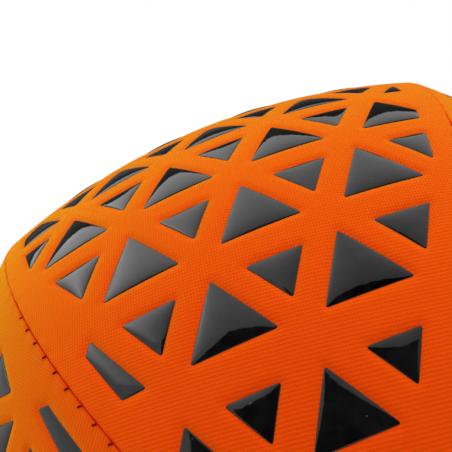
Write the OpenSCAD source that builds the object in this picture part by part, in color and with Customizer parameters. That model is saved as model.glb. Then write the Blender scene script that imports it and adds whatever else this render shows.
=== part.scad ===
// Soft-cover basketball: six sewn gores with raised grip pads, around an inflated bladder.
// Millimetres. The origin is the centre of the ball and the gores meet at poles on the Y axis.
// Each gore is drawn lying on its side: X through its middle, Y to the pole, Z across it.

/* [Ball] */
// Radius at the middle of a gore
mid_r = 118; // [100:0.5:125]
// Radius of the arc across a gore, which is flatter than the ball
cross_r = 190; // [160:1:240]

/* [Cover] */
// Thickness of the knit-faced foam
cover_t = 2.5; // [2:0.1:4]
// Thickness of the backing cloth
cloth_t = 0.5; // [0.3:0.1:1]
// Thickness of the edge turned in along a seam
turn_in_t = 1.8; // [1.4:0.1:3]
// Radius of the roll where the cover turns in
roll_r = 1.4; // [1.2:0.1:2.2]

/* [Grip pads] */
// Distance between neighbouring pads of one size
pad_pitch = 27.3; // [24:0.1:34]
// Side of a large pad
large_side = 18.2; // [14:0.1:20]
// Height of a large pad's crown above the knit
large_rise = 0.6; // [0.4:0.05:1.5]
// Side of a small pad
small_side = 12.5; // [9:0.1:14]
// Height of a small pad's crown above the knit
small_rise = 0.5; // [0.3:0.05:1.2]
// How far large and small pads are moved apart along the gore, each from an even spacing
pad_part = 0.66; // [0:0.02:1]
// Size of the pads next to the poles, against the others
end_size = 0.9; // [0.6:0.01:1]
// How far those pads are moved towards their pole
end_shift = 1.1; // [0:0.1:2]
// Height of a pad's corners above the knit
pad_edge = 0.15; // [0.05:0.05:0.3]
// Depth of a pad's flat back in the foam
pad_sink = 0.8; // [0.7:0.05:1.2]
// Bare strip left along each seam
print_margin = 6.2; // [4:0.1:9]
// Pattern's offset across the gore
print_across = 3.5; // [-12:0.1:12]
// Pattern's offset along the gore
print_along = 16.2; // [-12:0.1:24]

/* [Seams] */
// Distance between stitches
stitch_pitch = 5.3; // [4:0.1:7]
// Length of a stitch across the crease
stitch_len = 0.84; // [0.6:0.02:0.84]
// Radius of a stitch
stitch_r = 0.2; // [0.15:0.01:0.2]
// Radius of the thread lying in the crease
thread_r = 0.22; // [0.18:0.01:0.22]

/* [Bladder and valve] */
// Thickness of the bladder
bladder_t = 1; // [0.7:0.1:1.6]
// Radius of the valve's stem
stem_r = 4.5; // [4:0.1:6]
// Length of the stem, inwards from its mouth
stem_len = 13.6; // [11:0.1:18]
// Depth of the stem's mouth below the cover
mouth_drop = 0.4; // [0.1:0.1:1]
// Radius of the disc that joins the stem to the bladder
disc_r = 14; // [10:0.5:20]
// Thickness of that disc
disc_t = 1.6; // [1:0.1:2.5]
// Radius of the plug in the outer half of the stem
plug_r = 2.4; // [2:0.1:3]
// Radius of the plug's thicker inner half
plug_root_r = 3.2; // [3.1:0.1:3.6]
// Length of the plug past the stem's inner end
plug_tail = 4; // [2:0.1:6]
// Radius of the needle's channel
needle_r = 1.1; // [0.9:0.05:1.3]
// Thickness of the closed lips at the channel's inner end
lip_t = 2; // [1:0.1:3]
// Bare circle left around the valve
valve_clear_r = 9; // [7:0.5:14]

/* [Hidden] */
$fn = 180;
GORES = 6;
half = 180 / GORES;
valve_gore = 3;
far = 2 * mid_r;
bladder_r = mid_r - cover_t - cloth_t;
// The seam follows an oval through its ridge at the equator and the pole, drawn with two radii.
ridge_c = cos(half) * (mid_r - cross_r);
ridge_r = ridge_c + sqrt(pow(ridge_c, 2) + pow(cross_r, 2) - pow(mid_r - cross_r, 2));
oval_e = (ridge_r - mid_r) / (2 - sqrt(2));
side_r = ridge_r - oval_e;
pole_r = mid_r + oval_e;
// Slope of the cover where it reaches the seam, taken at two thirds of its largest.
slope = 0.65 * (half - asin(ridge_r * sin(half) / cross_r));
roll_y = roll_r * cos(15);
roll_x = (roll_r + roll_y * sin(slope)) / cos(slope);
crease = roll_x - roll_r * sin(15);
// The roll and the thread end this many degrees short of each pole, where six edges meet.
roll_stop = 3;
// The thread rests on the lowest flats of both edges, and the stitches cross just above it.
thread_drop = crease - thread_r / sin(30);
stitch_drop = thread_drop - thread_r - stitch_r - 0.005;
side_len = side_r * PI / 4;
stitches = floor((side_len + pole_r * (45 - roll_stop) * PI / 180) / stitch_pitch - 0.5);
row = pad_pitch * sqrt(3) / 2;
rows = ceil(mid_r * PI / 2 / row);
smallest_pad = 3;
end_from = 0.95 * mid_r;
mean_curve = (1 / mid_r + 1 / cross_r) / 2;
// Glue between the bladder and the stem's disc.
glue_t = 0.1;
mouth_x = mid_r - mouth_drop;
stem_end_x = mouth_x - stem_len;
shoulder_x = stem_end_x + 0.3 * stem_len;
plug_end_x = stem_end_x - plug_tail;

// Turns a gore from its own axes to its place around the ball.
module in_gore(i) {
  rotate([0, (i - 1.5) * 2 * half, 0])
    rotate(180, [1, 0, 1])
      children();
}

// One seam of a gore: X outwards at the equator, Y to a pole, Z into the gore.
module at_seam(side) {
  rotate([0, -half * side, 0])
    rotate([side > 0 ? 180 : 0, 0, 0])
      children();
}

// The gore's curved body, this far inside its outer face.
module barrel(inset = 0) {
  rotate_extrude()
    intersection() {
      translate([mid_r - cross_r, 0])
        circle(cross_r - inset);
      translate([0, -cross_r])
        square([far, 2 * cross_r]);
    }
}

// The space between the two seam planes, moved this far in from each.
module wedge(inset = 0) {
  translate([inset / sin(half), 0, 0])
    rotate([90, 0, 0])
      linear_extrude(2 * far, center = true)
        polygon([[0, 0], [far, -far * tan(half)], [far, far * tan(half)]]);
}

// Sweeps a profile along a seam from pole to pole, stopping this far short of each.
module along_seam(short) {
  translate([oval_e, 0, 0])
    rotate([0, 0, -45])
      rotate_extrude(angle = 90)
        translate([side_r, 0])
          children();
  for (end = [0, 1])
    rotate([180 * end, 0, 0])
      translate([0, -oval_e, 0])
        rotate([0, 0, 45])
          rotate_extrude(angle = 45 - short)
            translate([pole_r, 0])
              children();
}

// What the rolled edge leaves open above it, on one side of the seam, with three flats for the roll.
module roll_profile() {
  roll = [for (t = [15, 45, 75]) [roll_r * sin(t) - roll_x, roll_y - roll_r * cos(t)]];
  polygon(concat(roll, [[0.3, roll_r + 0.2], [2, roll_r + 0.2], [2, -0.5], [-crease, -0.5]]));
}

module stitch_bar(arc_r) {
  translate([arc_r - stitch_drop, 0, 0])
    cylinder(h = stitch_len, r = stitch_r, center = true);
}

// The short stitches across a seam, evenly spaced both ways from the equator.
module stitch_row() {
  for (end = [0, 1], i = [0 : stitches - 1]) {
    s = (i + 0.5) * stitch_pitch;
    rotate([180 * end, 0, 0])
      if (s < side_len)
        translate([oval_e, 0, 0])
          rotate([0, 0, s / side_r * 180 / PI])
            stitch_bar(side_r);
      else
        translate([0, -oval_e, 0])
          rotate([0, 0, 45 + (s - side_len) / pole_r * 180 / PI])
            stitch_bar(pole_r);
  }
}

module valve_hole() {
  rotate([0, 90, 0])
    cylinder(h = far, r = stem_r);
}

// A gore of knit-faced foam: long edges rolled and turned in, with a pocket for every pad.
module cover_gore(i) {
  color("darkorange")
    in_gore(i)
      difference() {
        intersection() {
          barrel();
          wedge();
        }
        intersection() {
          barrel(cover_t);
          wedge(turn_in_t);
        }
        for (side = [-1, 1])
          at_seam(side) {
            along_seam(roll_stop)
              roll_profile();
            cylinder(h = 2 * turn_in_t + 2, r = bladder_r, center = true);
          }
        each_pad(i)
          pad_prism();
        if (i == valve_gore)
          valve_hole();
      }
}

// Cloth bonded to the back of a gore, between the turned-in edges.
module backing(i) {
  color("gainsboro")
    in_gore(i)
      difference() {
        intersection() {
          barrel(cover_t);
          wedge(turn_in_t);
        }
        barrel(cover_t + cloth_t);
        if (i == valve_gore)
          valve_hole();
      }
}

// Keeps the part of an outline where g * p is at least d.
function clip(p, g, d) = len(p) < 3 ? [] : [
  for (k = [0 : len(p) - 1])
    let (a = p[k], b = p[(k + 1) % len(p)], fa = g * a - d, fb = g * b - d)
      each concat(fa >= 0 ? [a] : [], fa * fb < 0 ? [a + (b - a) * fa / (fa - fb)] : [])
];

function area(p) = len(p) < 3 ? 0 : 0.5 * abs([
  for (k = [0 : len(p) - 1])
    let (a = p[k], b = p[(k + 1) % len(p)])
      a[0] * b[1] - a[1] * b[0]
] * [for (k = p) 1]);

// A pad's outline, X along the gore and Y across it, cut back from both seams.
function triangle(side, way) = [
  [way * side / sqrt(3), 0],
  [-way * side / sqrt(12), way * side / 2],
  [-way * side / sqrt(12), -way * side / 2]
];

function pad_outline(side, way, lat, lon) =
  let (
    x = mid_r - cross_r + cross_r * cos(lon),
    c = [x * cos(lat), x * sin(lat), cross_r * sin(lon)],
    ev = [-sin(lat), cos(lat), 0],
    eu = [-sin(lon) * cos(lat), -sin(lon) * sin(lat), cos(lon)],
    nr = [sin(half), 0, -cos(half)],
    nl = [sin(half), 0, cos(half)],
    right = clip(triangle(side, way), [nr * ev, nr * eu], print_margin - nr * c)
  )
  clip(right, [nl * ev, nl * eu], print_margin - nl * c);

// Puts a child at every pad of a gore, telling it the pad's outline, side and rise.
// The gores are left-handed and right-handed in turn, so the pattern mirrors at every seam.
// Pads that would be slivers, or would meet the valve, are left out.
module each_pad(i) {
  hand = i % 2 == 1 ? 1 : -1;
  keep_clear = i == valve_gore ? valve_clear_r : -far;
  for (j = [-rows : rows], k = [-rows : rows], way = [-1, 1]) {
    even = print_along + (j + way / 3) * row + way * pad_part;
    at_end = abs(even) > end_from;
    along = even + (at_end ? sign(even) * end_shift : 0);
    size = at_end ? end_size : 1;
    $side = size * (way < 0 ? large_side : small_side);
    $rise = way < 0 ? large_rise : small_rise;
    across = hand * (print_across + (k + j / 2 + 0.5) * pad_pitch);
    lat = along / mid_r * 180 / PI;
    lon = across / cross_r * 180 / PI;
    on_gore = abs(lat) < 89 && abs(lon) < half;
    $outline = on_gore ? pad_outline($side, way, lat, lon) : [];
    clear = norm([along, across]) - $side / sqrt(3) > keep_clear;
    if (area($outline) > smallest_pad && clear)
      rotate([0, 0, lat])
        translate([mid_r - cross_r, 0, 0])
          rotate([0, -lon, 0])
            translate([cross_r, 0, 0])
              rotate([90, 0, 90])
                children();
  }
}

module pad_prism() {
  translate([0, 0, -pad_sink])
    linear_extrude(pad_sink + 2)
      polygon($outline);
}

// A pad's domed face, which comes down almost to the knit at the pad's corners.
module pad_dome() {
  corner = $side / sqrt(3);
  drop = $rise - pad_edge + pow(corner, 2) / 2 * mean_curve;
  dome_r = (pow(corner, 2) + pow(drop, 2)) / (2 * drop);
  translate([0, 0, $rise - dome_r])
    sphere(dome_r);
}

// The moulded pads on one gore: rows of large triangles, with small ones facing them.
module grip_pads(i) {
  color("dimgray")
    in_gore(i)
      each_pad(i)
        intersection() {
          pad_prism();
          pad_dome();
        }
}

// Sewing thread of the seam after this gore: a run in the crease and its cross stitches.
module seam_thread(i) {
  color("sienna")
    in_gore(i)
      at_seam(1) {
        along_seam(roll_stop)
          translate([-thread_drop, 0])
            circle(thread_r);
        stitch_row();
      }
}

module bladder() {
  color("black")
    in_gore(valve_gore)
      difference() {
        sphere(bladder_r);
        sphere(bladder_r - bladder_t);
        valve_hole();
      }
}

// Stem of the valve, with the disc that is bonded inside the bladder.
module valve_stem() {
  color("dimgray")
    in_gore(valve_gore)
      rotate([0, 90, 0])
        rotate_extrude()
          difference() {
            union() {
              translate([0, stem_end_x])
                square([stem_r, stem_len]);
              intersection() {
                difference() {
                  circle(bladder_r - bladder_t - glue_t);
                  circle(bladder_r - bladder_t - glue_t - disc_t);
                }
                square([disc_r, far]);
              }
            }
            translate([0, stem_end_x - 1])
              square([plug_root_r, shoulder_x - stem_end_x + 1]);
            square([plug_r, far]);
          }
}

// Plug with the channel that an inflating needle goes through, closed by lips at its end.
module valve_plug() {
  color("black")
    in_gore(valve_gore)
      rotate([0, 90, 0])
        difference() {
          union() {
            translate([0, 0, plug_end_x])
              cylinder(h = shoulder_x - plug_end_x, r = plug_root_r);
            translate([0, 0, plug_end_x])
              cylinder(h = mouth_x - plug_end_x, r = plug_r);
          }
          translate([0, 0, plug_end_x + lip_t])
            cylinder(h = far, r = needle_r);
          translate([-needle_r, -0.05, plug_end_x - 1])
            cube([2 * needle_r, 0.1, lip_t + 2]);
        }
}

cover_gore(1);  // cover_gore_1
cover_gore(2);  // cover_gore_2
cover_gore(3);  // cover_gore_3
cover_gore(4);  // cover_gore_4
cover_gore(5);  // cover_gore_5
cover_gore(6);  // cover_gore_6
grip_pads(1);  // grip_pads_1
grip_pads(2);  // grip_pads_2
grip_pads(3);  // grip_pads_3
grip_pads(4);  // grip_pads_4
grip_pads(5);  // grip_pads_5
grip_pads(6);  // grip_pads_6
backing(1);  // backing_1
backing(2);  // backing_2
backing(3);  // backing_3
backing(4);  // backing_4
backing(5);  // backing_5
backing(6);  // backing_6
seam_thread(1);  // seam_thread_1
seam_thread(2);  // seam_thread_2
seam_thread(3);  // seam_thread_3
seam_thread(4);  // seam_thread_4
seam_thread(5);  // seam_thread_5
seam_thread(6);  // seam_thread_6
bladder();
valve_stem();
valve_plug();
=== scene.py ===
import math

import bpy
import numpy as np
from mathutils import Matrix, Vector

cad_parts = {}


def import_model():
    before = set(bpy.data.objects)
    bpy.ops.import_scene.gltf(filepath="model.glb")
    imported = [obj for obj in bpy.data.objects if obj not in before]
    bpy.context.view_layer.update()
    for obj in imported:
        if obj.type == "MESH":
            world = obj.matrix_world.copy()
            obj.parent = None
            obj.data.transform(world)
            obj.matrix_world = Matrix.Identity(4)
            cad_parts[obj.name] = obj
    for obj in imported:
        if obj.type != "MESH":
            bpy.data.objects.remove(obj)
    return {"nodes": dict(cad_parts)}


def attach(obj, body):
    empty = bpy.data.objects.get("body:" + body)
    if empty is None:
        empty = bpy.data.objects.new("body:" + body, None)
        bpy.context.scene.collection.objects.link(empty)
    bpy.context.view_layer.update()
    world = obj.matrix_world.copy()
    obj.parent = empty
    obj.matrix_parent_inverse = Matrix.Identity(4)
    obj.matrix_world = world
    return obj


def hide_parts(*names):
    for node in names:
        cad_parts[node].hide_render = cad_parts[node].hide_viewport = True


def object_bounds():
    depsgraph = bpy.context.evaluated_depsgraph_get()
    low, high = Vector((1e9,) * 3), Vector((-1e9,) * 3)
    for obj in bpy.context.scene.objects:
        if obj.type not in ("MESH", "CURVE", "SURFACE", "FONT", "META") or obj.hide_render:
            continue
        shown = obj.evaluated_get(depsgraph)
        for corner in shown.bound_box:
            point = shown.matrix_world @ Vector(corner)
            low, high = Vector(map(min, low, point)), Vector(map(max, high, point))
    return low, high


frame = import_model()
cad_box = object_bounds()

MM = 0.001
GORES = 6
HALF = math.pi / GORES
VALVE_GORE = 3

# Sizes of part.scad, in millimetres.
MID_R = 118.0
CROSS_R = 190.0
COVER_T = 2.5
CLOTH_T = 0.5
TURN_IN_T = 1.8
PAD_PITCH = 27.3
LARGE_SIDE = 18.2
LARGE_RISE = 0.6
SMALL_SIDE = 12.5
SMALL_RISE = 0.5
PAD_SINK = 0.8
PRINT_MARGIN = 6.2
PRINT_ACROSS = 3.5
PRINT_ALONG = 16.2
PAD_PART = 0.66
END_SIZE = 0.9
END_SHIFT = 1.1
END_FROM = 0.95 * MID_R
SMALLEST_PAD = 3.0
STITCH_PITCH = 5.3
THREAD_R = 0.22
STEM_R = 4.5
VALVE_CLEAR_R = 9.0
BLADDER_R = MID_R - COVER_T - CLOTH_T


# The gore's surface. X runs through the middle of a gore, Y to the pole and Z across it.

def barrel(a, v, sink=0.0):
    """Points of a gore's face, this far below it; a is the angle across and v the angle along."""
    x = MID_R - CROSS_R + (CROSS_R - sink) * np.cos(a)
    return np.stack([x * np.cos(v), x * np.sin(v), (CROSS_R - sink) * np.sin(a) + 0 * v], -1)


def half_width(v, sink=0.0):
    """Distance from the middle of a gore to a seam's plane, at this angle along."""
    return math.sin(HALF) * (MID_R - sink) * np.cos(v)


def angle_at(d, v, sink=0.0):
    """The angle across where the face is d away from the seam's plane."""
    r = CROSS_R - sink
    p = math.sin(HALF) * r * np.cos(v)
    q = math.cos(HALF) * r
    rest = d - math.sin(HALF) * (MID_R - CROSS_R) * np.cos(v)
    return np.arccos(np.clip(rest / np.hypot(p, q), -1, 1)) - np.arctan2(q, p)


def gore_axes(i):
    """Gore i's own X, Y and Z in the row frame."""
    t = (i - 1.5) * 2 * HALF
    return np.array([[math.sin(t), 0, math.cos(t)], [0, -1, 0], [math.cos(t), 0, -math.sin(t)]])


def placed(points, i):
    """Points of gore i's own axes, in millimetres, in the row frame in metres."""
    return np.asarray(points).reshape(-1, 3) @ gore_axes(i) * MM


def make(name, points, faces, material, replaces, uv=None, sharp=None, edge=None):
    """A piece on the root body. uv holds its flat coordinates in millimetres, and edge a second such layer."""
    mesh = bpy.data.meshes.new(name)
    mesh.from_pydata(points.tolist(), [], faces)
    mesh.polygons.foreach_set("use_smooth", [True] * len(mesh.polygons))
    corner = np.zeros(len(mesh.loops), np.int32)
    mesh.loops.foreach_get("vertex_index", corner)
    for layer, values in (("flat", uv), ("edge", edge)):
        if values is not None:
            values = np.asarray(values, np.float32).reshape(-1, 2)
            mesh.uv_layers.new(name=layer).data.foreach_set("uv", values[corner].ravel())
    if sharp:
        mesh.set_sharp_from_angle(angle=math.radians(sharp))
    mesh.materials.append(material)
    mesh.update()
    obj = bpy.data.objects.new(name, mesh)
    bpy.context.scene.collection.objects.link(obj)
    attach(obj, "root")
    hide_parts(*replaces)
    return obj


def loft(rows, columns, start=0):
    """Quads between closed loops of points, with a cap on the first and the last loop."""
    faces = []
    for r in range(rows - 1):
        for c in range(columns):
            n = (c + 1) % columns
            a, b = start + r * columns, start + (r + 1) * columns
            faces.append((a + c, a + n, b + n, b + c))
    faces.append(tuple(start + c for c in reversed(range(columns))))
    faces.append(tuple(start + (rows - 1) * columns + c for c in range(columns)))
    return faces


# Materials. Lengths along flat coordinates are in millimetres, bump distances in metres.

class Nodes:
    """Short names for building a node tree."""

    def __init__(self, name):
        self.material = bpy.data.materials.new(name)
        self.material.use_nodes = True
        self.tree = self.material.node_tree
        self.bsdf = self.tree.nodes["Principled BSDF"]

    def add(self, kind, **inputs):
        node = self.tree.nodes.new(kind)
        for key, value in inputs.items():
            self.put(node.inputs[key.replace("_", " ")], value)
        return node

    def put(self, socket, value):
        if isinstance(value, bpy.types.NodeSocket):
            self.tree.links.new(value, socket)
        else:
            socket.default_value = value

    def math(self, op, *values):
        node = self.tree.nodes.new("ShaderNodeMath")
        node.operation = op
        for k, value in enumerate(values):
            self.put(node.inputs[k], value)
        return node.outputs[0]

    def split(self, vector):
        node = self.add("ShaderNodeSeparateXYZ")
        self.put(node.inputs[0], vector)
        return node.outputs

    def uv(self, layer="flat"):
        """A layer of flat coordinates, and its two values apart."""
        node = self.tree.nodes.new("ShaderNodeUVMap")
        node.uv_map = layer
        first, second, _ = self.split(node.outputs[0])
        return node.outputs[0], first, second

    def noise(self, where, scale, detail=3.0):
        return self.add("ShaderNodeTexNoise", Vector=where, Scale=scale, Detail=detail).outputs[0]

    def wave(self, along, length, shift, share):
        """A sine of this length, shifted by a share of another value."""
        turn = self.math("MULTIPLY", along, 2 * math.pi / length)
        return self.math("SINE", self.math("ADD", turn, self.math("MULTIPLY", shift, share)))

    def place(self):
        return self.add("ShaderNodeTexCoord").outputs["Object"]

    def ramp(self, factor, *stops):
        node = self.add("ShaderNodeValToRGB")
        elements = node.color_ramp.elements
        elements[0].position, elements[1].position = stops[0][0], stops[-1][0]
        for at, _ in stops[1:-1]:
            elements.new(at)
        for element, (_, colour) in zip(elements, stops):
            element.color = (*colour, 1)
        self.tree.links.new(factor, node.inputs[0])
        return node.outputs[0]

    def scaled(self, factor, low, high):
        """A value from 0 to 1, spread from low to high."""
        return self.add("ShaderNodeMapRange", Value=factor, To_Min=low, To_Max=high).outputs[0]

    def share(self, value, low, high, kind="LINEAR"):
        """0 where a value is at low or under it, and 1 where it is at high or over it."""
        node = self.add("ShaderNodeMapRange", Value=value, From_Min=low, From_Max=high)
        node.interpolation_type = kind
        return node.outputs[0]

    def mix(self, factor, first, second, blend="MIX"):
        node = self.add("ShaderNodeMix")
        node.data_type, node.blend_type = "RGBA", blend
        for k, value in ((0, factor), (6, first), (7, second)):
            self.put(node.inputs[k], value)
        return node.outputs[2]

    def bump(self, height, distance, strength):
        node = self.add("ShaderNodeBump", Strength=strength, Distance=distance, Height=height)
        self.tree.links.new(node.outputs[0], self.bsdf.inputs["Normal"])

    def set(self, **inputs):
        for key, value in inputs.items():
            self.put(self.bsdf.inputs[key.replace("_", " ")], value)
        return self.material

    def surface(self, shader):
        self.tree.links.new(shader.outputs[0], self.tree.nodes["Material Output"].inputs["Surface"])
        return self.material


# Height of the knit's rows and width of its columns, and how far each wanders.
COURSE, COURSE_WANDER = 0.80, 2.4
WALE, WALE_WANDER = 0.61, 1.6
# Towards the poles the knit is drawn out between these distances from the middle of a gore. Its rows and columns
# have one depth before that and another after it.
DRAWN_FROM, DRAWN_TO = 85.0, 110.0
COURSE_DEPTHS = 0.55, 0.74
WALE_DEPTHS = 0.9, 0.2
# The knit is painted darker and redder within this distance of a seam, as painted shade in the seam's crease.
CREASE_SHADE_W = 2.0


def knit():
    n = Nodes("knit")
    where, across, along = n.uv()
    wander = n.math("SUBTRACT", n.noise(where, 0.35), 0.5)
    course = n.wave(along, COURSE, wander, COURSE_WANDER)
    wale = n.wave(across, WALE, wander, WALE_WANDER)
    _, edge, from_middle = n.uv("edge")
    drawn = n.share(n.math("ABSOLUTE", from_middle), DRAWN_FROM, DRAWN_TO, "SMOOTHSTEP")
    loops = n.math("ADD", n.math("MULTIPLY", course, n.scaled(drawn, *COURSE_DEPTHS)),
                   n.math("MULTIPLY", wale, n.scaled(drawn, *WALE_DEPTHS)))
    uneven = n.math("MULTIPLY", loops, n.scaled(n.noise(where, 1.2, 2.0), 0.0, 2.0))
    height = n.math("ADD", n.math("MULTIPLY", uneven, 0.5), 0.5)
    fuzz = n.noise(where, 4.0, 5.0)
    broad = n.noise(where, 0.03, 2.0)
    # The raised loops are painted lighter and yellower and the hollows darker, a painted highlight and shade on the
    # knit's relief; the fuzz and broad noise add tone that differs at random.
    tone = n.math("ADD", n.math("MULTIPLY", height, 0.35),
                  n.math("ADD", n.math("MULTIPLY", fuzz, 0.45), n.math("MULTIPLY", broad, 0.2)))
    face = n.ramp(tone, (0.15, (0.69, 0.021, 0.0008)), (0.5, (0.82, 0.042, 0.0012)),
                  (0.85, (0.91, 0.068, 0.002)))
    # Painted shade in the crease: the knit's colour is multiplied darker and redder close to a seam.
    crease_shade = n.ramp(n.math("DIVIDE", edge, CREASE_SHADE_W), (0.0, (0.95, 0.4, 0.4)), (0.2, (1, 0.65, 0.7)),
                  (0.45, (1, 1, 1)))
    n.bump(n.math("ADD", height, n.math("MULTIPLY", fuzz, 0.3)), 0.0001, 0.5)
    return n.set(Base_Color=n.mix(1.0, face, crease_shade, "MULTIPLY"), Roughness=0.9, Specular_IOR_Level=0.02,
                 Sheen_Weight=0.63, Sheen_Roughness=0.56, Sheen_Tint=(1.0, 0.85, 0.012, 1))


# Dust on the pads: cells for each metre, a speck's radius in cells and the share of cells without one.
DUST_CELLS, DUST_R, DUST_FREE = 420.0, 0.05, 0.7


def pad_rubber():
    n = Nodes("pad_rubber")
    where = n.place()
    grain = n.noise(where, 900.0, 2.0)
    broad = n.noise(where, 60.0, 2.0)
    mottle = n.noise(where, 400.0, 2.0)
    dust = n.add("ShaderNodeTexVoronoi", Vector=where, Scale=DUST_CELLS)
    chosen = n.add("ShaderNodeSeparateColor", Color=dust.outputs["Color"])
    speck = n.math("MULTIPLY", n.math("LESS_THAN", dust.outputs["Distance"], DUST_R),
                   n.math("GREATER_THAN", chosen.outputs[0], DUST_FREE))
    tone = n.math("MAXIMUM", n.math("MULTIPLY", n.math("ADD", broad, mottle), 0.25), speck)
    colour = n.ramp(tone, (0.15, (0.0005, 0.0005, 0.0008)), (0.35, (0.0095, 0.0095, 0.0095)),
                    (0.5, (0.012, 0.012, 0.012)), (1.0, (0.11, 0.11, 0.1)))
    uneven = n.math("ADD", n.math("MULTIPLY", grain, 0.3), n.math("MULTIPLY", mottle, 0.6))
    n.bump(n.math("ADD", uneven, broad), 0.00005, 0.5)
    return n.set(Base_Color=colour, Roughness=n.scaled(grain, 0.04, 0.08), IOR=1.45)


# Length of one turn of the thread's ply, and the turns that it makes round the thread.
PLY = 0.5
PLY_TURNS = 2
# Added to a stitch's second flat coordinate, to tell it from the run in the crease.
STITCH_MARK = 8.0


def thread():
    n = Nodes("thread")
    where, along, around = n.uv()
    ply = n.wave(along, PLY, around, PLY_TURNS * 2 * math.pi)
    tone = n.math("ADD", n.math("MULTIPLY", ply, 0.25), n.noise(where, 6.0))
    # The run in the crease is painted the darker red of the knit in the crease's shade, so that it shows as a
    # painted shade line along the seam.
    run = n.ramp(tone, (0.2, (0.5, 0.012, 0.0005)), (0.8, (0.65, 0.02, 0.0005)))
    stitch = n.ramp(tone, (0.2, (0.13, 0.004, 0.001)), (0.8, (0.22, 0.009, 0.002)))
    colour = n.mix(n.math("GREATER_THAN", around, STITCH_MARK - 1), run, stitch)
    n.bump(ply, 0.00005, 0.7)
    return n.set(Base_Color=colour, Roughness=0.8, Specular_IOR_Level=0.02)


WEAVE = 0.8


def cloth():
    n = Nodes("lining_cloth")
    where, across, along = n.uv()
    weave = n.math("MULTIPLY", n.math("SINE", n.math("MULTIPLY", across, 2 * math.pi / WEAVE)),
                   n.math("SINE", n.math("MULTIPLY", along, 2 * math.pi / WEAVE)))
    tone = n.math("ADD", n.math("MULTIPLY", weave, 0.3), n.noise(where, 1.5))
    colour = n.ramp(tone, (0.2, (0.5, 0.47, 0.41)), (0.8, (0.74, 0.70, 0.62)))
    n.bump(weave, 0.0001, 0.6)
    return n.set(Base_Color=colour, Roughness=0.9)


def moulded_rubber(name, dark, light, roughness):
    n = Nodes(name)
    where = n.place()
    grain = n.noise(where, 1500.0, 4.0)
    broad = n.noise(where, 90.0, 3.0)
    colour = n.ramp(broad, (0.3, dark), (0.7, light))
    n.bump(n.math("ADD", grain, n.math("MULTIPLY", broad, 2.0)), 0.00004, 0.5)
    return n.set(Base_Color=colour, Roughness=n.scaled(grain, roughness - 0.08, roughness + 0.08))


KNIT = knit()
PAD = pad_rubber()
THREAD = thread()
CLOTH = cloth()
BLADDER = moulded_rubber("bladder_rubber", (0.018, 0.018, 0.018), (0.04, 0.04, 0.04), 0.6)
STEM = moulded_rubber("valve_rubber", (0.03, 0.03, 0.03), (0.06, 0.06, 0.06), 0.5)
PLUG = moulded_rubber("plug_rubber", (0.05, 0.05, 0.05), (0.1, 0.1, 0.1), 0.45)


# Covers and linings.

# Rows of points along a gore. Across each half of its face there are steps away from the seam, which draw together
# where that half is narrower than NARROW, and then OUTER even ones. Each half of its back has INNER steps.
ROWS = 413
LAST_ROW = math.radians(89.3)
LATS = np.linspace(-LAST_ROW, LAST_ROW, ROWS)
EDGE_STEPS = np.array([0.01, 0.08, 0.17, 0.28, 0.42, 0.58, 0.77, 1.0, 1.3, 1.7, 2.2, 2.9])
NARROW = 8
OUTER = 66
INNER = 8
# The turned-in edge is never wider than this share of half the gore.
MOST_TURNED_IN = 0.6
# How far the knit is pressed in round a pad, over which distance, and how much more under the pad.
PRESS = 0.45
PRESS_W = 0.8
PRESS_UNDER = 0.35
PRESS_REACH = 4
# The roll along a seam, and how far and over which distance a stitch pulls it in.
SEAM_R = 0.6
PULL = 0.12
PULL_W = 2.2
# A stitch leaves the crease this far along from its even place, and leans back as it goes out.
STITCH_SHIFT = 1.7
STITCH_SLANT = 1.1
# The lining's rows are every third of the cover's, without the ten next to each pole.
LINING_ROWS = slice(10, -10, 3)
LINING_STEPS = 12
LINING_GAP = 0.02
# Each gore is cut from another place in the knit, and turned on it by this many degrees.
KNIT_TURN = [8.5, -3.0, 2.0, -6.0, 4.0, 1.0]
KNIT_SHIFT = np.array([37.0, 53.0])
SHARP = 50


def seam_line(drop):
    """The crease of a seam as points in a gore's own axes, and its length from the middle of the seam."""
    a = angle_at(0.0, LATS)
    line = barrel(a, LATS, drop)
    step = np.linalg.norm(np.diff(line, axis=0), axis=1)
    length = np.concatenate([[0], np.cumsum(step)])
    return line, length - length[ROWS // 2]


def edge_drop(d, length):
    """How far the rolled edge lies below the face, d away from the seam; the stitches pull it in."""
    into = np.clip(SEAM_R - d, 0, None)
    pull = 0.5 + 0.5 * np.cos(2 * math.pi * ((length - STITCH_SHIFT) / STITCH_PITCH - 0.5))
    return SEAM_R - np.sqrt(SEAM_R ** 2 - into ** 2) + PULL * pull * np.exp(-(d / PULL_W) ** 2)


def face_grid():
    """Distances from the seam and angles across for one half of a gore's face, row by row."""
    wide = half_width(LATS)[:, None]
    edge = EDGE_STEPS * np.minimum(1, wide / NARROW)
    rest = edge[:, -1:] + (wide - edge[:, -1:]) * np.linspace(0, 1, OUTER + 1)[1:]
    d = np.concatenate([edge, rest], 1)
    return d, angle_at(d, LATS[:, None])


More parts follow.
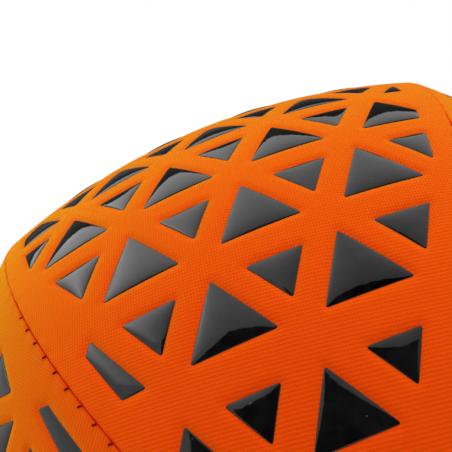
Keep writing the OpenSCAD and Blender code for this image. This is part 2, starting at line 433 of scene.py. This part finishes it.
def pressed(a, sites):
    """How far the knit is pressed in round the pads, and held down under them."""
    v = np.broadcast_to(LATS[:, None], a.shape)
    at = barrel(a, v)
    depth = np.zeros(a.shape)
    for c, ev, eu, outline, side, *_ in sites:
        near = np.linalg.norm(at - c, axis=-1) < side / math.sqrt(3) + PRESS_REACH
        flat = np.stack([(at[near] - c) @ ev, (at[near] - c) @ eu], -1)
        out, into = np.full(len(flat), np.inf), np.full(len(flat), np.inf)
        middle = np.mean(outline, 0)
        for k, p in enumerate(outline):
            way = outline[(k + 1) % len(outline)] - p
            normal = np.array([-way[1], way[0]]) / np.linalg.norm(way)
            normal *= np.sign(normal @ (middle - p))
            into = np.minimum(into, (flat - p) @ normal)
            t = np.clip((flat - p) @ way / (way @ way), 0, 1)
            out = np.minimum(out, np.linalg.norm(flat - p - t[:, None] * way, axis=1))
        under = PRESS + PRESS_UNDER * np.minimum(into, 1)
        depth[near] = np.maximum(depth[near], np.where(into > 0, under, PRESS * np.exp(-(out / PRESS_W) ** 2)))
    return depth


def cover_points(right, left):
    """A closed loop for each row: the face from seam to seam, both turned-in edges and the back. right and left are
    how far each half of the face is pressed in. Next come the flat coordinates, and last each point's distance from
    the seam and from the middle of the gore."""
    length = seam_line(0.0)[1]
    steps, angles = face_grid()
    points, flat, edges = [], [], []
    for r, (v, at) in enumerate(zip(LATS, length)):
        d, a = steps[r], angles[r]
        inset = min(TURN_IN_T, MOST_TURNED_IN * half_width(v))
        back_d = np.linspace(inset, half_width(v, COVER_T), INNER + 1)
        back_a = angle_at(back_d, v, COVER_T)
        back = barrel(back_a, v, COVER_T)
        flange = back[0] * (BLADDER_R / np.linalg.norm(back[0]))
        sides = []
        for press in (right[r], left[r]):
            face = barrel(a, v, edge_drop(d, at) + press)
            rim = face[0] * (BLADDER_R / np.linalg.norm(face[0]))
            sides.append(np.concatenate([face[::-1], [rim, flange], back]))
        across = np.concatenate([CROSS_R * a[::-1], [CROSS_R * a[0]] * 2, CROSS_R * back_a])
        near = np.concatenate([d[::-1], np.zeros(len(across) - len(d))])
        points.append(np.concatenate([sides[0], (sides[1] * [1, 1, -1])[-2:0:-1]]))
        flat.append(np.stack([np.concatenate([across, -across[-2:0:-1]]),
                              np.full(2 * len(across) - 2, MID_R * v)], -1))
        edges.append(np.concatenate([near, near[-2:0:-1]]))
    edges = np.array(edges)
    from_middle = np.broadcast_to(MID_R * LATS[:, None], edges.shape)
    return np.array(points), np.array(flat), np.stack([edges, from_middle], -1)


def lining_points():
    """A closed loop for each row of the backing cloth, and its flat coordinates."""
    points, flat = [], []
    for v in LATS[LINING_ROWS]:
        loops, across = [], []
        for sink, order in ((COVER_T + LINING_GAP, 1), (COVER_T + CLOTH_T, -1)):
            wide = half_width(v, sink)
            d = np.linspace(min(TURN_IN_T + LINING_GAP, MOST_TURNED_IN * wide), wide, LINING_STEPS)
            a = angle_at(d, v, sink)
            a = np.concatenate([a, -a[-2::-1]])[::order]
            loops.append(barrel(a, v, sink))
            across.append(CROSS_R * a)
        points.append(np.concatenate(loops))
        across = np.concatenate(across)
        flat.append(np.stack([across, np.full(len(across), MID_R * v)], -1))
    return np.array(points), np.array(flat)


def valve_cutter():
    bpy.ops.mesh.primitive_cylinder_add(vertices=96, radius=STEM_R * MM, depth=0.06,
                                        location=(MID_R * MM, 0, 0), rotation=(0, math.pi / 2, 0))
    return bpy.context.object


def cut(obj, cutter):
    modifier = obj.modifiers.new("valve", "BOOLEAN")
    modifier.operation = "DIFFERENCE"
    modifier.solver = "EXACT"
    modifier.object = cutter
    bpy.context.view_layer.objects.active = obj
    bpy.ops.object.modifier_apply(modifier=modifier.name)


def skewed(degrees):
    """Turns flat coordinates, because no two gores are cut quite square to the knit."""
    c, s = math.cos(math.radians(degrees)), math.sin(math.radians(degrees))
    return np.array([[c, -s], [s, c]])


def covers():
    """Every gore's cover and lining. Even gores are mirrored, so their halves change places."""
    angles = face_grid()[1]
    sites = list(pad_sites())
    press = {valve: [pressed(s * angles, [x for x in sites if x[-1] or not valve]) for s in (1, -1)]
             for valve in (False, True)}
    inside, inside_flat = lining_points()
    cutter = valve_cutter()
    for i in range(1, GORES + 1):
        shift = KNIT_SHIFT * i
        grain = skewed(KNIT_TURN[i - 1])
        halves = press[i == VALVE_GORE]
        outside, outside_flat, edge = cover_points(*(halves if i % 2 else halves[::-1]))
        cover = make(f"knit_gore_{i}", placed(outside, i), loft(*outside.shape[:2]), KNIT,
                     [f"cover_gore_{i}"], outside_flat @ grain + shift, SHARP, edge)
        lining = make(f"lining_{i}", placed(inside, i), loft(*inside.shape[:2]), CLOTH,
                      [f"backing_{i}"], inside_flat @ grain + shift, SHARP)
        if i == VALVE_GORE:
            cut(cover, cutter)
            cut(lining, cutter)
    bpy.data.objects.remove(cutter)


# Grip pads.

# Rings of a pad's face, as shares of its outline, and the length of a step along its rim.
RINGS = np.array([1, 0.99, 0.98, 0.965, 0.945, 0.92, 0.88, 0.81, 0.71, 0.57, 0.4, 0.2])
RIM_STEP = 1.7
# Power of the blown-up film's height that gives a pad's flatter crown.
DOME = 0.6
# The rounded rim, and how far below the pressed-in knit it starts.
BEVEL_W = 0.12
BEVEL = 0.06
BEVEL_POWER = 1.4
SUNK = -0.06
# A corner's arc, which takes at most a share of the shorter side.
CORNER_R = 0.45
CORNER_SHARE = 0.3
CORNER_POINTS = 5
# No pad's middle lies past this angle along a gore.
PRINT_END = math.radians(89)


def clip(outline, g, least):
    """The part of an outline where its product with g is at least this."""
    kept = []
    for k, a in enumerate(outline):
        b = outline[(k + 1) % len(outline)]
        fa, fb = g @ a - least, g @ b - least
        if fa >= 0:
            kept.append(a)
        if fa * fb < 0:
            kept.append(a + (b - a) * fa / (fa - fb))
    return kept


def rounded(outline):
    """An outline with small arcs for corners."""
    points = []
    for k, p in enumerate(outline):
        ways = [outline[k - 1] - p, outline[(k + 1) % len(outline)] - p]
        long = [np.linalg.norm(w) for w in ways]
        ways = [w / l for w, l in zip(ways, long)]
        half = math.acos(np.clip(ways[0] @ ways[1], -1, 1)) / 2
        back = min(CORNER_R / math.tan(half), CORNER_SHARE * min(long))
        for t in np.linspace(0, 1, CORNER_POINTS):
            points.append(p + back * ((1 - t) ** 2 * ways[0] + t ** 2 * ways[1]))
    return points


def area(outline):
    p = np.array(outline)
    q = np.roll(p, -1, 0)
    return 0.5 * abs((p[:, 0] * q[:, 1] - p[:, 1] * q[:, 0]).sum())


def swell(points, faces, rim):
    """Height of a film blown up over a flat outline, solved on its own small mesh."""
    count = len(points)
    stiff, load = np.zeros((count, count)), np.zeros(count)
    tris = []
    for face in faces:
        tris += [(face[0], face[k], face[k + 1]) for k in range(1, len(face) - 1)]
    for tri in tris:
        p = points[list(tri)]
        e = np.roll(p, -2, 0) - np.roll(p, -1, 0)
        twice = abs(e[0, 0] * e[1, 1] - e[0, 1] * e[1, 0])
        stiff[np.ix_(tri, tri)] += e @ e.T / (2 * twice)
        load[list(tri)] += twice / 6
    free = np.arange(rim, count)
    height = np.zeros(count)
    height[free] = np.linalg.solve(stiff[np.ix_(free, free)], load[free])
    return height


def to_edge(points, outline):
    """Distance of points inside a convex outline from its nearest side."""
    least = np.full(len(points), np.inf)
    for k, p in enumerate(outline):
        way = outline[(k + 1) % len(outline)] - p
        normal = np.array([-way[1], way[0]]) / np.linalg.norm(way)
        least = np.minimum(least, np.abs((points - p) @ normal))
    return least


def pad_mesh(outline, side, rise):
    """A pad as flat points, their heights and faces."""
    outline = np.array(outline)
    middle = outline.mean(0)
    rim = []
    for k, a in enumerate(outline):
        b = outline[(k + 1) % len(outline)]
        n = max(1, round(np.linalg.norm(b - a) / RIM_STEP))
        rim += [a + (b - a) * s / n for s in range(n)]
    rim = np.array(rim)
    n = len(rim)
    points = np.concatenate([middle + (rim - middle) * f for f in RINGS] + [[middle]])
    faces = []
    for r in range(len(RINGS) - 1):
        for c in range(n):
            d = (c + 1) % n
            faces.append((r * n + c, r * n + d, r * n + n + d, r * n + n + c))
    last = (len(RINGS) - 1) * n
    faces += [(last + c, last + (c + 1) % n, last + n) for c in range(n)]
    # The film's height in the middle of a whole triangle of this side.
    full = side ** 2 / 36
    height = rise * (swell(points, faces, n) / full).clip(0) ** DOME - PRESS
    height += BEVEL * (1 - np.clip(1 - to_edge(points, outline) / BEVEL_W, 0, 1) ** BEVEL_POWER)
    height[:n] = SUNK - PRESS
    under = len(points)
    faces += [(c, under, (c + 1) % n) for c in range(n)]
    return np.concatenate([points, [middle]]), np.append(height, -PAD_SINK), faces


def pad_sites():
    """Where each pad of a gore sits, with its outline cut back from the seams. The last value says whether the pad
    is clear of the valve."""
    row = PAD_PITCH * math.sqrt(3) / 2
    rows = math.ceil(MID_R * math.pi / 2 / row)
    for j in range(-rows, rows + 1):
        for k in range(-rows, rows + 1):
            for way in (-1, 1):
                along = PRINT_ALONG + (j + way / 3) * row + way * PAD_PART
                side = LARGE_SIDE if way < 0 else SMALL_SIDE
                if abs(along) > END_FROM:
                    along += math.copysign(END_SHIFT, along)
                    side *= END_SIZE
                rise = LARGE_RISE if way < 0 else SMALL_RISE
                across = PRINT_ACROSS + (k + j / 2 + 0.5) * PAD_PITCH
                v, a = along / MID_R, across / CROSS_R
                if abs(v) > PRINT_END or abs(a) > HALF:
                    continue
                c = barrel(np.array(a), np.array(v))
                ev = np.array([-math.sin(v), math.cos(v), 0])
                eu = np.array([-math.sin(a) * math.cos(v), -math.sin(a) * math.sin(v), math.cos(a)])
                outline = [np.array([way * side / math.sqrt(3), 0]),
                           np.array([-way * side / math.sqrt(12), way * side / 2]),
                           np.array([-way * side / math.sqrt(12), -way * side / 2])]
                for s in (-1, 1):
                    normal = np.array([math.sin(HALF), 0, s * math.cos(HALF)])
                    outline = clip(outline, np.array([normal @ ev, normal @ eu]), PRINT_MARGIN - normal @ c)
                if len(outline) < 3 or area(outline) < SMALLEST_PAD:
                    continue
                clear = math.hypot(along, across) - side / math.sqrt(3) > VALVE_CLEAR_R
                yield c, ev, eu, rounded(outline), side, rise, clear


def pads():
    """Every gore's pads: one set for the gores without the valve and one for the gore with it."""
    sets = {False: ([], [], 0), True: ([], [], 0)}
    for c, ev, eu, outline, side, rise, clear in pad_sites():
        flat, height, faces = pad_mesh(outline, side, rise)
        at = c + flat[:, :1] * ev + flat[:, 1:] * eu
        v = np.arctan2(at[:, 1], at[:, 0])
        a = np.arctan2(at[:, 2], np.hypot(at[:, 0], at[:, 1]) - MID_R + CROSS_R)
        solid = barrel(a, v, -height)
        for valve in ((False, True) if clear else (False,)):
            points, polys, start = sets[valve]
            points.append(solid)
            polys += [tuple(start + p for p in face) for face in faces]
            sets[valve] = points, polys, start + len(solid)
    for i in range(1, GORES + 1):
        points, polys, _ = sets[i == VALVE_GORE]
        points = np.concatenate(points)
        if i % 2 == 0:
            points = points * [1, 1, -1]
            polys = [face[::-1] for face in polys]
        make(f"pads_{i}", placed(points, i), polys, PAD, [f"grip_pads_{i}"])


# Seams.

SIDES = 8
STITCH_LEN = 0.95
STITCH_R = 0.25
STITCH_FROM = 0.16
STITCH_RINGS = 9
# How far a stitch stands above the roll, how far its ends dive, how late they do and how far they narrow.
STITCH_PROUD = 0.08
STITCH_DIVE = 0.3
STITCH_BLUNT = 8
STITCH_TIP = 0.96
# Depth of the run in shares of the roll, which grows towards the middle of a seam at this angle along it.
RUN_DEPTH, RUN_CHANGE = 0.85, 0.25
RUN_AT, RUN_OVER = 29, 3
# Below this angle the stitches are drawn in under the knit.
HIDDEN_AT, HIDDEN_OVER = 34.5, 1.5
HIDDEN_DROP = 0.5
# Rows next to each pole that the run leaves out.
RUN_SPARE = 8


def tube(path, radius, up):
    """Rings of points round a path, with its length and turn as flat coordinates."""
    way = np.gradient(path, axis=0)
    way /= np.linalg.norm(way, axis=1)[:, None]
    side = np.cross(way, up)
    side /= np.linalg.norm(side, axis=1)[:, None]
    over = np.cross(side, way)
    turn = np.arange(SIDES) / SIDES * 2 * math.pi
    radius = np.broadcast_to(radius, len(path))[:, None, None]
    rings = path[:, None] + radius * (np.cos(turn)[None, :, None] * side[:, None]
                                      + np.sin(turn)[None, :, None] * over[:, None])
    length = np.concatenate([[0], np.cumsum(np.linalg.norm(np.diff(path, axis=0), axis=1))])
    flat = np.stack(np.broadcast_arrays(length[:, None], turn[None] / (2 * math.pi)), -1)
    return rings, flat


def past(v, at, over):
    """-1 in the middle of a seam and 1 near its poles, changing at this many degrees."""
    return np.tanh((np.abs(np.degrees(v)) - at) / over)


def seam_points():
    """The run of thread in a seam's crease and the stitches beside it, in a gore's own axes."""
    line, length = seam_line(SEAM_R * (RUN_DEPTH - RUN_CHANGE * past(LATS, RUN_AT, RUN_OVER)))
    run = line[RUN_SPARE:-RUN_SPARE]
    parts = [tube(run, THREAD_R, run)]
    count = int(length[-RUN_SPARE - 1] / STITCH_PITCH - 0.5)
    d = np.linspace(STITCH_FROM, 1, STITCH_RINGS) * STITCH_LEN
    dive = STITCH_DIVE * np.linspace(-1, 1, STITCH_RINGS) ** STITCH_BLUNT
    ends = STITCH_R * np.sqrt(1 - np.linspace(-STITCH_TIP, STITCH_TIP, STITCH_RINGS) ** STITCH_BLUNT)
    for k in range(-count, count):
        s = (k + 0.5) * STITCH_PITCH + STITCH_SHIFT
        v = np.interp(s - STITCH_SLANT * d, length, LATS)
        hidden = 0.5 - 0.5 * past(v, HIDDEN_AT, HIDDEN_OVER)
        sink = edge_drop(d, s) + dive - STITCH_PROUD + HIDDEN_DROP * hidden
        path = barrel(angle_at(d, v), v, sink)
        rings, across = tube(path, ends, path)
        parts.append((rings, across + [0, STITCH_MARK]))
    points, flat, faces, start = [], [], [], 0
    for rings, across in parts:
        points.append(rings.reshape(-1, 3))
        flat.append(across.reshape(-1, 2))
        faces += loft(*rings.shape[:2], start)
        start += rings.shape[0] * rings.shape[1]
    return np.concatenate(points), np.concatenate(flat), faces


def seams():
    points, flat, faces = seam_points()
    for i in range(1, GORES + 1):
        make(f"stitching_{i}", placed(points, i), faces, THREAD, [f"seam_thread_{i}"], flat)


covers()
pads()
seams()
for node, material in (("bladder", BLADDER), ("valve_stem", STEM), ("valve_plug", PLUG)):
    mesh = frame["nodes"][node].data
    mesh.materials.clear()
    mesh.materials.append(material)


# Floor, light and camera, in metres.

FLOOR_Z = cad_box[0].z
FLOOR_GAP = 0.0002
# Between these distances from the object the floor turns into the white background.
FLOOR_NEAR, FLOOR_FAR = 0.16, 0.4
# The world's level as light, and where it is seen.
WORLD_LIGHT, WORLD_SEEN = 0.5, 1.0
# The brightest level that a card's ramps hold.
CARD_FULL = 4.0


def seen_ray(tree):
    """1 for the rays that show the background: from the camera, in gloss and through glass."""
    path = tree.nodes.new("ShaderNodeLightPath")
    value = path.outputs["Is Camera Ray"]
    for name in ("Is Glossy Ray", "Is Transmission Ray"):
        most = tree.nodes.new("ShaderNodeMath")
        most.operation = "MAXIMUM"
        tree.links.new(value, most.inputs[0])
        tree.links.new(path.outputs[name], most.inputs[1])
        value = most.outputs[0]
    return value


def floor():
    bpy.ops.mesh.primitive_plane_add(size=12, location=(0, 0, FLOOR_Z - FLOOR_GAP))
    plane = bpy.context.object
    plane.name = "floor"
    n = Nodes("floor")
    where = n.place()
    n.set(Base_Color=n.ramp(n.noise(where, 3.0), (0.3, (0.86, 0.86, 0.86)), (0.7, (0.9, 0.9, 0.9))), Roughness=0.8)
    length = n.add("ShaderNodeVectorMath")
    length.operation = "LENGTH"
    n.put(length.inputs[0], where)
    far = n.share(length.outputs["Value"], FLOOR_NEAR, FLOOR_FAR, "SMOOTHSTEP")
    white = n.add("ShaderNodeEmission")
    mix = n.add("ShaderNodeMixShader")
    n.put(mix.inputs[0], n.math("MULTIPLY", far, seen_ray(n.tree)))
    n.put(mix.inputs[1], n.bsdf.outputs[0])
    n.put(mix.inputs[2], white.outputs[0])
    plane.data.materials.append(n.surface(mix))


def world():
    w = bpy.data.worlds.new("studio")
    bpy.context.scene.world = w
    w.use_nodes = True
    tree = w.node_tree
    back = tree.nodes["Background"]
    level = tree.nodes.new("ShaderNodeMapRange")
    level.inputs["To Min"].default_value = WORLD_LIGHT
    level.inputs["To Max"].default_value = WORLD_SEEN
    tree.links.new(seen_ray(tree), level.inputs["Value"])
    tree.links.new(level.outputs[0], back.inputs["Strength"])
    back.inputs["Color"].default_value = (1, 1, 1, 1)


def card(name, outline, *ramps):
    """A flat card beside the object, seen only in its gloss. Each ramp is an axis and the levels along it, and
    the card's level is their product."""
    mesh = bpy.data.meshes.new(name)
    mesh.from_pydata(outline, [], [tuple(range(len(outline)))])
    n = Nodes(name)
    axes = n.split(n.place())
    level = 1.0
    for axis, *levels in ramps:
        low, high = levels[0][0], levels[-1][0]
        stops = [((at - low) / (high - low), (value / CARD_FULL,) * 3) for at, value in levels]
        grey = n.ramp(n.share(axes[axis], low, high), *stops)
        level = n.math("MULTIPLY", n.math("MULTIPLY", grey, CARD_FULL), level)
    mesh.materials.append(n.surface(n.add("ShaderNodeEmission", Strength=level)))
    obj = bpy.data.objects.new(name, mesh)
    bpy.context.scene.collection.objects.link(obj)
    obj.visible_camera = obj.visible_diffuse = obj.visible_transmission = obj.visible_shadow = False


def standing(y, *top):
    """The outline of a card that stands on the floor across the view; its top edge is given as x and height."""
    top = [(top[0][0], 0), *top, (top[-1][0], 0)]
    return [(x, y, FLOOR_Z + height) for x, height in top]


def softbox(name, place, facing, size, radiance):
    """A lamp over the object, unseen in gloss. facing is the way it shines, and size[0] lies along X."""
    light = bpy.data.lights.new(name, "AREA")
    light.shape = "RECTANGLE"
    light.size, light.size_y = size
    light.energy = radiance * math.pi * size[0] * size[1]
    lamp = bpy.data.objects.new(name, light)
    bpy.context.scene.collection.objects.link(lamp)
    lamp.visible_glossy = False
    away = -np.array(facing, float)
    away /= np.linalg.norm(away)
    side = np.cross([0, 1.0, 0], away)
    side /= np.linalg.norm(side)
    over = np.cross(away, side)
    lamp.matrix_world = Matrix([[side[r], over[r], away[r], place[r]] for r in range(3)] + [[0, 0, 0, 1]])


# The camera as fitted to the photograph, in pixels and in radii of the ball: its axes are right, down and ahead.
FOCAL = 740.529
FRAME_PX = 452
SENSOR = 36
BALL_AT = np.array([0.3036, 0.6783, 1.974])
# The middle of gore 1 and the seams' pole as the camera sees them, before the last small turn.
GORE_WAY = np.array([-0.377, -0.926, 0])
POLE_WAY = np.array([0, 0, -1.0])
TURN = np.array([0.0497, -0.0276, -0.0069])


def turned(w):
    """The matrix that turns about w by its length in radians."""
    t = np.linalg.norm(w)
    k = w / t
    cross = np.array([[0, -k[2], k[1]], [k[2], 0, -k[0]], [-k[1], k[0], 0]])
    return np.eye(3) + math.sin(t) * cross + (1 - math.cos(t)) * cross @ cross


def camera():
    seen = turned(TURN) @ np.stack([GORE_WAY, np.cross(POLE_WAY, GORE_WAY), POLE_WAY], 1)
    m, k, u = gore_axes(1)
    to_row = np.stack([m, -u, k], 1) @ np.linalg.inv(seen)
    place = to_row @ -BALL_AT * MID_R * MM
    right, up, back = to_row @ [1, 0, 0], to_row @ [0, -1, 0], to_row @ [0, 0, -1]
    data = bpy.data.cameras.new("camera")
    data.sensor_width = SENSOR
    data.lens = SENSOR * FOCAL / FRAME_PX
    data.clip_start = 0.01
    obj = bpy.data.objects.new("camera", data)
    bpy.context.scene.collection.objects.link(obj)
    # The nearest square axes to the fitted ones.
    turn, _, turn2 = np.linalg.svd(np.stack([right, up, back], 1))
    axes = turn @ turn2
    obj.matrix_world = Matrix([[*axes[r], place[r]] for r in range(3)] + [[0, 0, 0, 1]])
    bpy.context.scene.camera = obj


floor()
world()
card("back_card",
     standing(1.0, (-1.6, 0.1), (-1.2, 0.75), (-0.58, 1.05), (-0.1, 1.8), (0.8, 1.8), (1.0, 0.9), (1.1, 0.1)),
     (2, (-0.12, 0.04), (0.1, 0.06), (0.3, 0.15), (0.7, 0.06), (1.5, 0.02)))
card("front_card", standing(-1.0, (-1.15, 0.3), (-1.1, 1.8), (0.55, 1.8)), (2, (0.0, 0.0), (2.0, 0.0)))
card("right_card", standing(-1.0, (0.55, 1.8), (1.6, 1.8)), (2, (0.0, 0.35), (1.6, 0.5)))
TOP_Z = 0.9
TOP_OUTLINE = [(-4, -0.67), (1.7, -0.67), (1.7, 1.7), (0.6, 0.95), (0.15, 0.6), (-0.06, 0.58), (-0.56, 1.05),
               (-1.8, 1.65), (-4, 1.65)]
card("top_card", [(x, y, TOP_Z) for x, y in TOP_OUTLINE],
     (0, (-4.0, 1.6), (-3.5, 1.7), (-2.2, 2.3), (-1.6, 3.6), (-1.4, 3.6), (-1.07, 2.75), (-0.75, 2.2),
      (-0.53, 1.9), (-0.33, 1.62), (-0.16, 1.48), (1.7, 1.48)),
     (1, (-0.67, 0.44), (-0.55, 0.5), (-0.35, 0.63), (-0.17, 0.77), (0.0, 0.91), (0.15, 0.97), (0.4, 0.94),
      (0.65, 0.82), (0.9, 0.72), (1.65, 0.6)))
softbox("key", (-0.15, -0.12, 1.05), (0.15, 0.12, -1), (1.2, 1.2), 1.7)
softbox("overhead", (0.1, 0.2, 0.9), (0, 0, -1), (1.8, 0.9), 0.4)
camera()
bpy.context.scene.view_settings.view_transform = "Standard"
